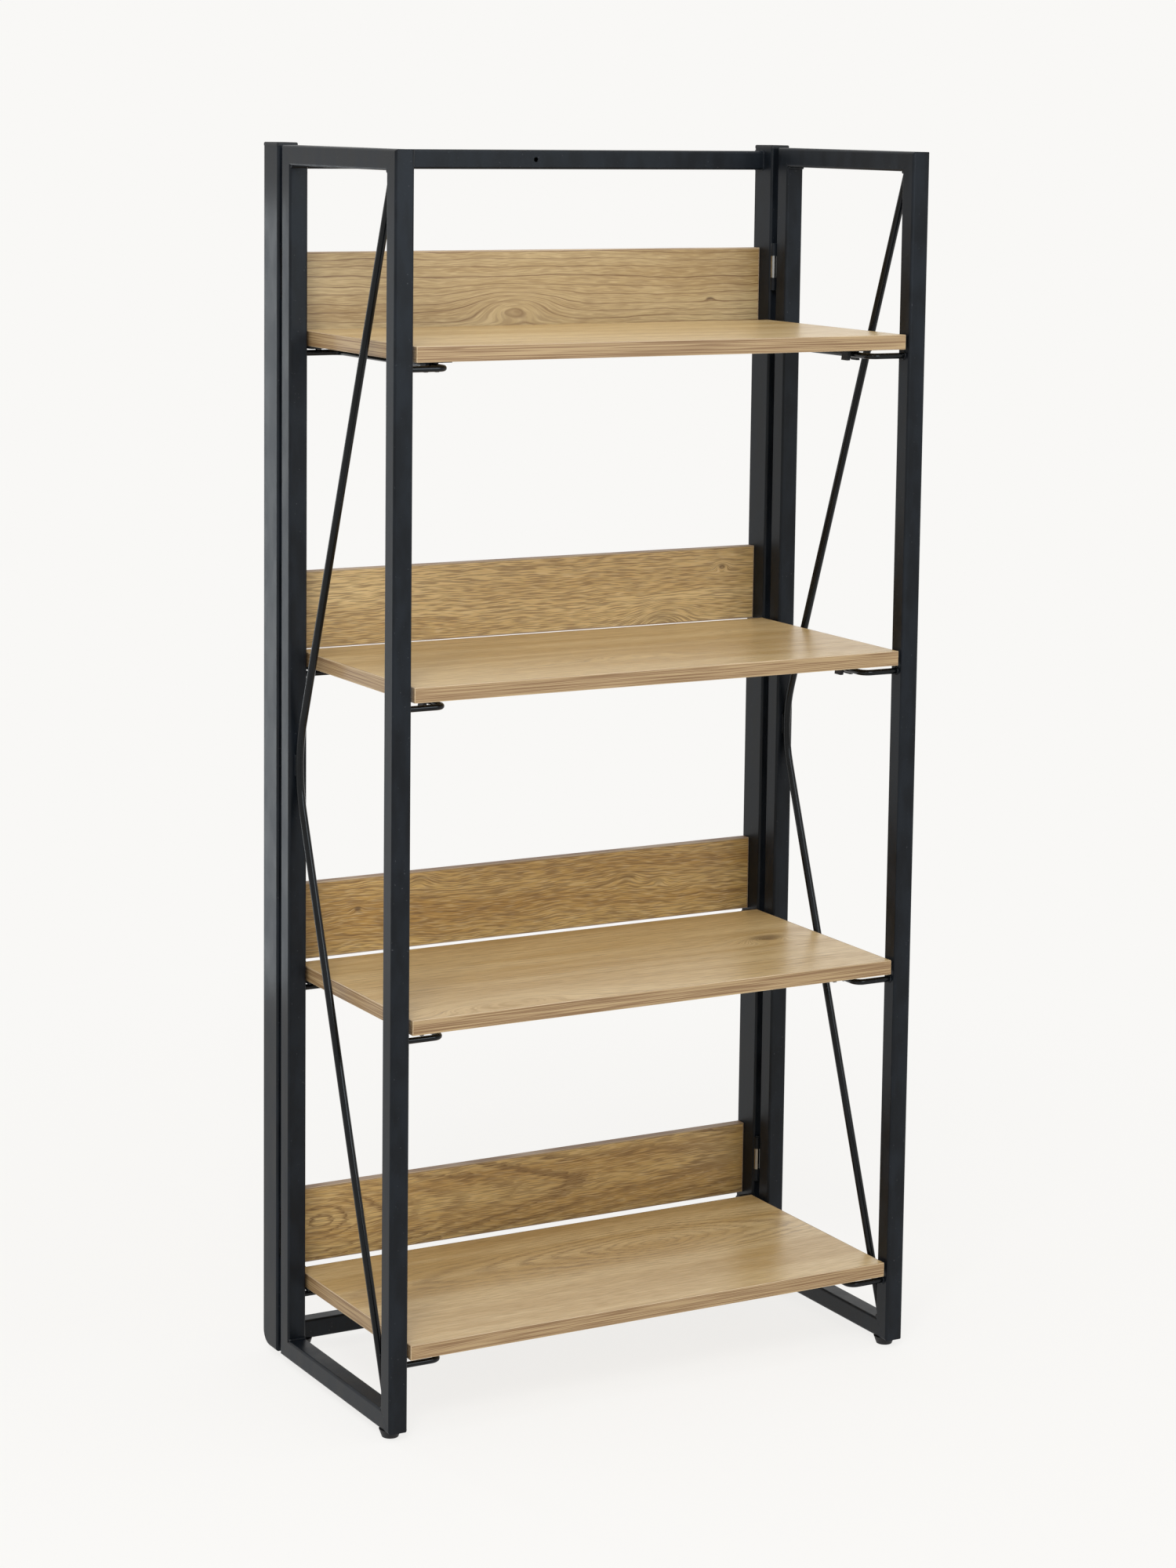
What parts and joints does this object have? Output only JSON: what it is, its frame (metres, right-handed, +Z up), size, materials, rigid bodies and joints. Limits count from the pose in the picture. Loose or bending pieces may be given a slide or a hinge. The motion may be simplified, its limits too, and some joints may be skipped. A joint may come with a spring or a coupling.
{
  "type": "folding bookcase",
  "caption": "Free-standing folding bookcase with tip-up oak shelves, a tube back frame and two hinged side frames braced by bent rods.",
  "frame": {"origin": "on the floor, in the middle of the width and the depth", "axes": "+Z up, -Y to the front, +X to the right seen from the front"},
  "size_m": [0.6024, 0.3017, 1.2525],
  "materials": {
    "frame_coat": "satin black powder coat",
    "bracket_coat": "satin black powder coat",
    "oak_shelf": "light oak laminate with matching edge banding",
    "oak_board": "light oak laminate with matching edge banding",
    "hinge_steel": "bright zinc plated",
    "zinc_pin": "zinc plated, smooth",
    "screw_steel": "black zinc plated",
    "clip_plastic": "moulded, fine matt texture",
    "cap_plastic": "moulded, satin",
    "foot_plastic": "moulded, satin",
    "bush_plastic": "moulded acetal, smooth"
  },
  "bodies": {
    "frame": {"back_post_left": "frame_coat", "back_cap_left": "cap_plastic", "back_plug_left": "cap_plastic", "back_foot_left": "foot_plastic", "left_pivot_bushes": "bush_plastic", "back_post_right": "frame_coat", "back_cap_right": "cap_plastic", "back_plug_right": "cap_plastic", "back_foot_right": "foot_plastic", "right_pivot_bushes": "bush_plastic", "back_top_rail": "frame_coat", "back_bottom_rail": "frame_coat", "back_board_1": "oak_board", "back_board_2": "oak_board", "back_board_3": "oak_board", "back_board_4": "oak_board", "board_tabs": "frame_coat", "board_screws": "screw_steel", "left_front_post": "frame_coat", "left_rear_post": "frame_coat", "left_top_rail": "frame_coat", "left_bottom_rail": "frame_coat", "left_brace_rod": "frame_coat", "left_wire_1": "frame_coat", "left_wire_2": "frame_coat", "left_wire_3": "frame_coat", "left_wire_4": "frame_coat", "left_glide": "foot_plastic", "left_frame_leaves": "frame_coat", "left_back_leaves": "hinge_steel", "left_hinge_pins": "zinc_pin", "right_front_post": "frame_coat", "right_rear_post": "frame_coat", "right_top_rail": "frame_coat", "right_bottom_rail": "frame_coat", "right_brace_rod": "frame_coat", "right_wire_1": "frame_coat", "right_wire_2": "frame_coat", "right_wire_3": "frame_coat", "right_wire_4": "frame_coat", "right_glide": "foot_plastic", "right_frame_leaves": "frame_coat", "right_back_leaves": "hinge_steel", "right_hinge_pins": "zinc_pin"},
    "shelf_1_leaf": {"shelf_1": "oak_shelf", "shelf_1_brackets": "bracket_coat", "shelf_1_pins": "zinc_pin", "shelf_1_clips": "clip_plastic"},
    "shelf_2_leaf": {"shelf_2": "oak_shelf", "shelf_2_brackets": "bracket_coat", "shelf_2_pins": "zinc_pin", "shelf_2_clips": "clip_plastic"},
    "shelf_3_leaf": {"shelf_3": "oak_shelf", "shelf_3_brackets": "bracket_coat", "shelf_3_pins": "zinc_pin", "shelf_3_clips": "clip_plastic"},
    "shelf_4_leaf": {"shelf_4": "oak_shelf", "shelf_4_brackets": "bracket_coat", "shelf_4_pins": "zinc_pin", "shelf_4_clips": "clip_plastic"}
  },
  "joints": [
    {"name": "shelf_1_tip_up", "type": "hinge", "parent": "frame", "child": "shelf_1_leaf", "pos_m": [0, 0.1234, 1.0585], "axis": [-1, 0, 0], "range_deg": [0, 90]},
    {"name": "shelf_2_tip_up", "type": "hinge", "parent": "frame", "child": "shelf_2_leaf", "pos_m": [0, 0.1234, 0.7345], "axis": [-1, 0, 0], "range_deg": [0, 90]},
    {"name": "shelf_3_tip_up", "type": "hinge", "parent": "frame", "child": "shelf_3_leaf", "pos_m": [0, 0.1234, 0.4105], "axis": [-1, 0, 0], "range_deg": [0, 90]},
    {"name": "shelf_4_tip_up", "type": "hinge", "parent": "frame", "child": "shelf_4_leaf", "pos_m": [0, 0.1234, 0.0865], "axis": [-1, 0, 0], "range_deg": [0, 90]}
  ]
}
